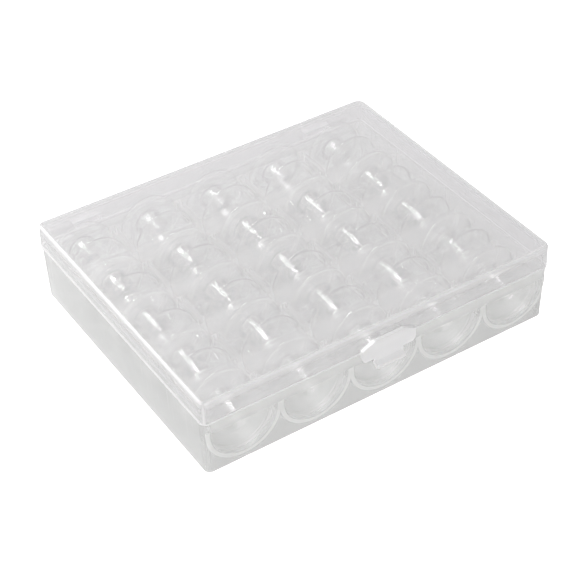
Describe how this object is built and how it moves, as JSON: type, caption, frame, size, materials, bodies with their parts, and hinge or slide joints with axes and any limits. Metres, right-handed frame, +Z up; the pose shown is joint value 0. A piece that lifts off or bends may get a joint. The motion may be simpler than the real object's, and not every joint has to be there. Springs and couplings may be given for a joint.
{
  "type": "bobbin box",
  "caption": "Clear hinged case with a front snap latch, whose tray of round-bottomed cradles holds flanged sewing bobbins on edge in rows.",
  "frame": {"origin": "middle of the footprint, at the level of the rim that the box stands on", "axes": "+X to the right along the latch side, +Y from the latch side to the hinge side, +Z up out of the lid"},
  "size_m": [0.1236, 0.1072, 0.0272],
  "materials": {
    "tray_plastic": "translucent moulded polypropylene, faintly hazy, satin",
    "lid_plastic": "clear moulded polypropylene, smooth and glossy with a faint haze",
    "bobbin_plastic": "crystal-clear moulded plastic, polished"
  },
  "bodies": {
    "tray": {"base_tray": "tray_plastic"},
    "lid": {"lid": "lid_plastic"},
    "bobbin_r1_c1": {"bobbin_r1_c1": "bobbin_plastic"},
    "bobbin_r1_c2": {"bobbin_r1_c2": "bobbin_plastic"},
    "bobbin_r1_c3": {"bobbin_r1_c3": "bobbin_plastic"},
    "bobbin_r1_c4": {"bobbin_r1_c4": "bobbin_plastic"},
    "bobbin_r1_c5": {"bobbin_r1_c5": "bobbin_plastic"},
    "bobbin_r2_c1": {"bobbin_r2_c1": "bobbin_plastic"},
    "bobbin_r2_c2": {"bobbin_r2_c2": "bobbin_plastic"},
    "bobbin_r2_c3": {"bobbin_r2_c3": "bobbin_plastic"},
    "bobbin_r2_c4": {"bobbin_r2_c4": "bobbin_plastic"},
    "bobbin_r2_c5": {"bobbin_r2_c5": "bobbin_plastic"},
    "bobbin_r3_c1": {"bobbin_r3_c1": "bobbin_plastic"},
    "bobbin_r3_c2": {"bobbin_r3_c2": "bobbin_plastic"},
    "bobbin_r3_c3": {"bobbin_r3_c3": "bobbin_plastic"},
    "bobbin_r3_c4": {"bobbin_r3_c4": "bobbin_plastic"},
    "bobbin_r3_c5": {"bobbin_r3_c5": "bobbin_plastic"},
    "bobbin_r4_c1": {"bobbin_r4_c1": "bobbin_plastic"},
    "bobbin_r4_c2": {"bobbin_r4_c2": "bobbin_plastic"},
    "bobbin_r4_c3": {"bobbin_r4_c3": "bobbin_plastic"},
    "bobbin_r4_c4": {"bobbin_r4_c4": "bobbin_plastic"},
    "bobbin_r4_c5": {"bobbin_r4_c5": "bobbin_plastic"},
    "bobbin_r5_c1": {"bobbin_r5_c1": "bobbin_plastic"},
    "bobbin_r5_c2": {"bobbin_r5_c2": "bobbin_plastic"},
    "bobbin_r5_c3": {"bobbin_r5_c3": "bobbin_plastic"},
    "bobbin_r5_c4": {"bobbin_r5_c4": "bobbin_plastic"},
    "bobbin_r5_c5": {"bobbin_r5_c5": "bobbin_plastic"}
  },
  "joints": [
    {"name": "lid_hinge", "type": "hinge", "parent": "tray", "child": "lid", "pos_m": [0, 0.0522, 0.0191], "axis": [-1, 0, 0], "range_deg": [0, 180]},
    {"name": "bobbin_r1_c1_spin", "type": "hinge", "parent": "tray", "child": "bobbin_r1_c1", "pos_m": [-0.0484, 0.0416, 0.01315], "axis": [0, 1, 0], "continuous": true},
    {"name": "bobbin_r1_c2_spin", "type": "hinge", "parent": "tray", "child": "bobbin_r1_c2", "pos_m": [-0.0242, 0.0416, 0.01315], "axis": [0, 1, 0], "continuous": true},
    {"name": "bobbin_r1_c3_spin", "type": "hinge", "parent": "tray", "child": "bobbin_r1_c3", "pos_m": [0, 0.0416, 0.01315], "axis": [0, 1, 0], "continuous": true},
    {"name": "bobbin_r1_c4_spin", "type": "hinge", "parent": "tray", "child": "bobbin_r1_c4", "pos_m": [0.0242, 0.0416, 0.01315], "axis": [0, 1, 0], "continuous": true},
    {"name": "bobbin_r1_c5_spin", "type": "hinge", "parent": "tray", "child": "bobbin_r1_c5", "pos_m": [0.0484, 0.0416, 0.01315], "axis": [0, 1, 0], "continuous": true},
    {"name": "bobbin_r2_c1_spin", "type": "hinge", "parent": "tray", "child": "bobbin_r2_c1", "pos_m": [-0.0484, 0.0208, 0.01315], "axis": [0, 1, 0], "continuous": true},
    {"name": "bobbin_r2_c2_spin", "type": "hinge", "parent": "tray", "child": "bobbin_r2_c2", "pos_m": [-0.0242, 0.0208, 0.01315], "axis": [0, 1, 0], "continuous": true},
    {"name": "bobbin_r2_c3_spin", "type": "hinge", "parent": "tray", "child": "bobbin_r2_c3", "pos_m": [0, 0.0208, 0.01315], "axis": [0, 1, 0], "continuous": true},
    {"name": "bobbin_r2_c4_spin", "type": "hinge", "parent": "tray", "child": "bobbin_r2_c4", "pos_m": [0.0242, 0.0208, 0.01315], "axis": [0, 1, 0], "continuous": true},
    {"name": "bobbin_r2_c5_spin", "type": "hinge", "parent": "tray", "child": "bobbin_r2_c5", "pos_m": [0.0484, 0.0208, 0.01315], "axis": [0, 1, 0], "continuous": true},
    {"name": "bobbin_r3_c1_spin", "type": "hinge", "parent": "tray", "child": "bobbin_r3_c1", "pos_m": [-0.0484, 0, 0.01315], "axis": [0, 1, 0], "continuous": true},
    {"name": "bobbin_r3_c2_spin", "type": "hinge", "parent": "tray", "child": "bobbin_r3_c2", "pos_m": [-0.0242, 0, 0.01315], "axis": [0, 1, 0], "continuous": true},
    {"name": "bobbin_r3_c3_spin", "type": "hinge", "parent": "tray", "child": "bobbin_r3_c3", "pos_m": [0, 0, 0.01315], "axis": [0, 1, 0], "continuous": true},
    {"name": "bobbin_r3_c4_spin", "type": "hinge", "parent": "tray", "child": "bobbin_r3_c4", "pos_m": [0.0242, 0, 0.01315], "axis": [0, 1, 0], "continuous": true},
    {"name": "bobbin_r3_c5_spin", "type": "hinge", "parent": "tray", "child": "bobbin_r3_c5", "pos_m": [0.0484, 0, 0.01315], "axis": [0, 1, 0], "continuous": true},
    {"name": "bobbin_r4_c1_spin", "type": "hinge", "parent": "tray", "child": "bobbin_r4_c1", "pos_m": [-0.0484, -0.0208, 0.01315], "axis": [0, 1, 0], "continuous": true},
    {"name": "bobbin_r4_c2_spin", "type": "hinge", "parent": "tray", "child": "bobbin_r4_c2", "pos_m": [-0.0242, -0.0208, 0.01315], "axis": [0, 1, 0], "continuous": true},
    {"name": "bobbin_r4_c3_spin", "type": "hinge", "parent": "tray", "child": "bobbin_r4_c3", "pos_m": [0, -0.0208, 0.01315], "axis": [0, 1, 0], "continuous": true},
    {"name": "bobbin_r4_c4_spin", "type": "hinge", "parent": "tray", "child": "bobbin_r4_c4", "pos_m": [0.0242, -0.0208, 0.01315], "axis": [0, 1, 0], "continuous": true},
    {"name": "bobbin_r4_c5_spin", "type": "hinge", "parent": "tray", "child": "bobbin_r4_c5", "pos_m": [0.0484, -0.0208, 0.01315], "axis": [0, 1, 0], "continuous": true},
    {"name": "bobbin_r5_c1_spin", "type": "hinge", "parent": "tray", "child": "bobbin_r5_c1", "pos_m": [-0.0484, -0.0416, 0.01315], "axis": [0, 1, 0], "continuous": true},
    {"name": "bobbin_r5_c2_spin", "type": "hinge", "parent": "tray", "child": "bobbin_r5_c2", "pos_m": [-0.0242, -0.0416, 0.01315], "axis": [0, 1, 0], "continuous": true},
    {"name": "bobbin_r5_c3_spin", "type": "hinge", "parent": "tray", "child": "bobbin_r5_c3", "pos_m": [0, -0.0416, 0.01315], "axis": [0, 1, 0], "continuous": true},
    {"name": "bobbin_r5_c4_spin", "type": "hinge", "parent": "tray", "child": "bobbin_r5_c4", "pos_m": [0.0242, -0.0416, 0.01315], "axis": [0, 1, 0], "continuous": true},
    {"name": "bobbin_r5_c5_spin", "type": "hinge", "parent": "tray", "child": "bobbin_r5_c5", "pos_m": [0.0484, -0.0416, 0.01315], "axis": [0, 1, 0], "continuous": true}
  ]
}
